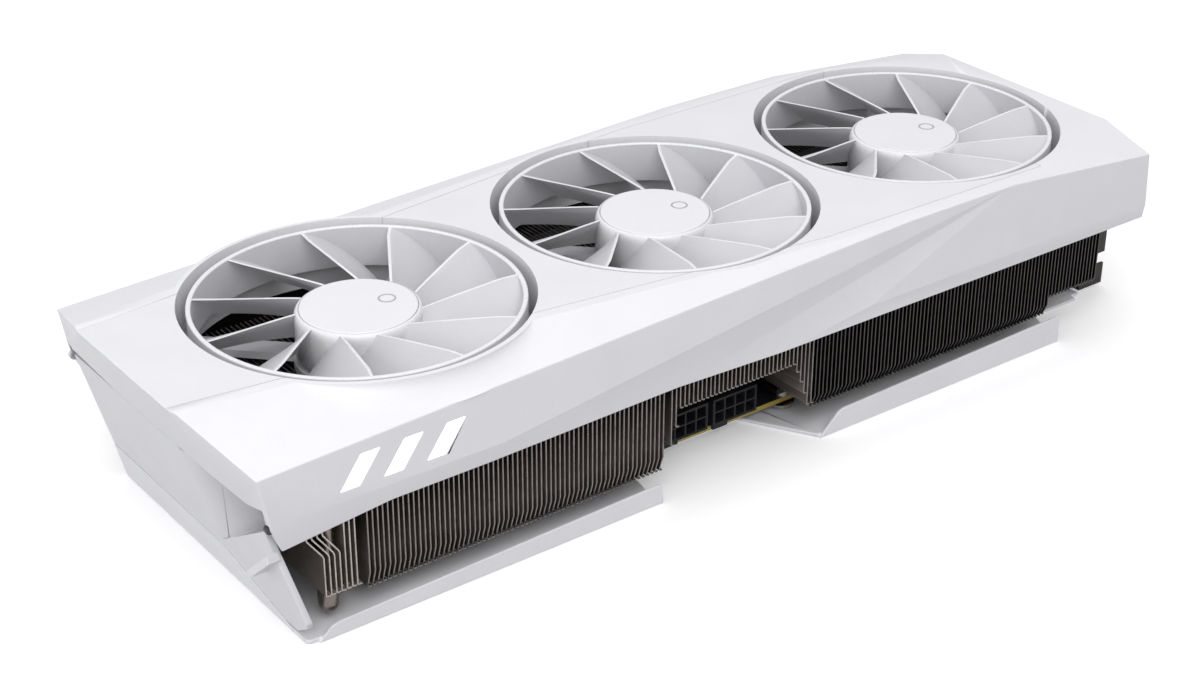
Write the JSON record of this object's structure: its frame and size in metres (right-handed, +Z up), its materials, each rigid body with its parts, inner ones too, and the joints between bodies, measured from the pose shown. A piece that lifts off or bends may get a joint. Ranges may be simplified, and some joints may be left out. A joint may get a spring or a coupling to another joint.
{
  "type": "graphics card",
  "caption": "Long white expansion card with a row of ducted axial fans, dark fin stacks on heat pipes, flanged metal backplate, slotted mounting bracket and board-edge contacts.",
  "frame": {"origin": "centre of the bottom of the whole card's box, level with the outer face of the backplate", "axes": "+X along the card from the tail to the mounting bracket, +Y across it towards the edge contacts, +Z up out of the fans"},
  "size_m": [0.3594, 0.1442, 0.0683],
  "materials": {
    "white_moulding": "satin",
    "white_fan": "satin",
    "lit_lens": "frosted",
    "white_metal": "satin",
    "black_nickel": "satin",
    "nickel_copper": "polished",
    "board_black": "satin",
    "gold": "polished",
    "black_plastic": "matte",
    "silicon": "polished",
    "pad": "matte",
    "can": "satin",
    "steel": "satin",
    "black_screw": "satin",
    "bronze": "satin"
  },
  "bodies": {
    "card": {"shroud_shell": "white_moulding", "centre_panel": "white_moulding", "tail_frame": "white_moulding", "fan_base_tail": "white_fan", "fan_base_middle": "white_fan", "fan_base_bracket": "white_fan", "light_lenses": "lit_lens", "backplate": "white_metal", "fin_stack_tail": "black_nickel", "fin_stack_middle": "black_nickel", "fin_stack_inlets": "black_nickel", "fin_stack_board": "black_nickel", "fin_stack_bracket": "black_nickel", "fin_stack_cranked": "black_nickel", "heat_pipes": "black_nickel", "io_bracket": "black_nickel", "heatsink_frame": "black_nickel", "cold_plate": "nickel_copper", "circuit_board": "board_black", "light_board": "board_black", "gpu_package": "board_black", "memory_chips": "board_black", "power_stages": "board_black", "chokes": "board_black", "edge_contacts": "gold", "power_pins": "gold", "power_inlet_tail": "black_plastic", "power_inlet_bracket": "black_plastic", "fan_header": "black_plastic", "gpu_die": "silicon", "memory_pads": "pad", "backplate_pads": "pad", "capacitors": "can", "displayport_sockets": "can", "hdmi_socket": "can", "spring_cross": "steel", "cross_posts": "steel", "standoffs": "steel", "cross_screws": "black_screw", "backplate_screws": "black_screw", "bracket_screws": "black_screw", "fan_screws": "black_screw", "tail_screws": "black_screw", "fan_bearings": "bronze", "motor_stators": "bronze"},
    "fan_tail": {"fan_rotor_tail": "white_fan", "hub_cap_tail": "white_fan", "rotor_magnet_tail": "steel", "rotor_shaft_tail": "steel"},
    "fan_middle": {"fan_rotor_middle": "white_fan", "hub_cap_middle": "white_fan", "rotor_magnet_middle": "steel", "rotor_shaft_middle": "steel"},
    "fan_bracket": {"fan_rotor_bracket": "white_fan", "hub_cap_bracket": "white_fan", "rotor_magnet_bracket": "steel", "rotor_shaft_bracket": "steel"}
  },
  "joints": [
    {"name": "spin_tail", "type": "hinge", "parent": "card", "child": "fan_tail", "pos_m": [-0.1052, -0.01185, 0.0594], "axis": [0, 0, 1], "continuous": true},
    {"name": "spin_middle", "type": "hinge", "parent": "card", "child": "fan_middle", "pos_m": [0.0031, -0.01185, 0.0594], "axis": [0, 0, 1], "continuous": true},
    {"name": "spin_bracket", "type": "hinge", "parent": "card", "child": "fan_bracket", "pos_m": [0.1114, -0.01185, 0.0594], "axis": [0, 0, 1], "continuous": true}
  ]
}
